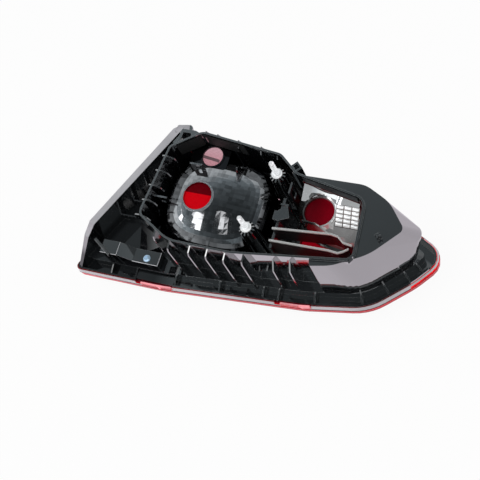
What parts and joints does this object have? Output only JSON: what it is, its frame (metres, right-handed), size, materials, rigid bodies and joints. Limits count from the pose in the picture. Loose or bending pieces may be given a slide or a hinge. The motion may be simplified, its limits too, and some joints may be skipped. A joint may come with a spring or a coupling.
{
  "type": "tail light cluster",
  "caption": "Car tail light cluster: ribbed black housing with an open bulb-carrier bay, faceted reflectors, red lens and mounting studs.",
  "frame": {"origin": "the seat of the middle mounting stud, in the plane of the bay's rim", "axes": "+Z the way the studs point, into the car body; +X along the lamp towards its pointed outer end; the lens closes the -Z side"},
  "size_m": [0.412, 0.1856, 0.1477],
  "materials": {
    "housing_plastic": "gloss moulded black",
    "lens_red": "clear red moulded",
    "lens_clear": "faintly pink moulded",
    "seal_rubber": "matt bead",
    "bezel_plastic": "gloss moulded",
    "smoked_metallised": "smoked metal coat on facets",
    "dark_metallised": "dark metal coat",
    "bright_metallised": "bright metal coat",
    "carrier_plastic": "gloss moulded slate",
    "baffle_metallised": "metal coat with bright edges",
    "filter_red": "clear red moulded, fine grid",
    "diffuser_clear": "faintly pink moulded, fine grid",
    "reflex_red": "red prismatic",
    "zinc_steel": "bright zinc plate",
    "bracket_plastic": "gloss moulded black",
    "blue_zinc_steel": "blue zinc plate"
  },
  "bodies": {
    "root": {"housing": "housing_plastic", "lens_red": "lens_red", "lens_clear": "lens_clear", "lens_seal": "seal_rubber", "bezel": "bezel_plastic", "main_reflector": "smoked_metallised", "reverse_reflector": "dark_metallised", "side_reflector": "bright_metallised", "reflector_carrier": "carrier_plastic", "upper_baffle": "baffle_metallised", "lower_baffle": "baffle_metallised", "side_filter": "filter_red", "inner_filter": "filter_red", "inner_diffuser": "diffuser_clear", "reflex_reflector": "reflex_red", "stud_a": "zinc_steel", "stud_b": "zinc_steel", "fixing_bracket": "bracket_plastic", "bracket_screw": "blue_zinc_steel"}
  },
  "joints": []
}
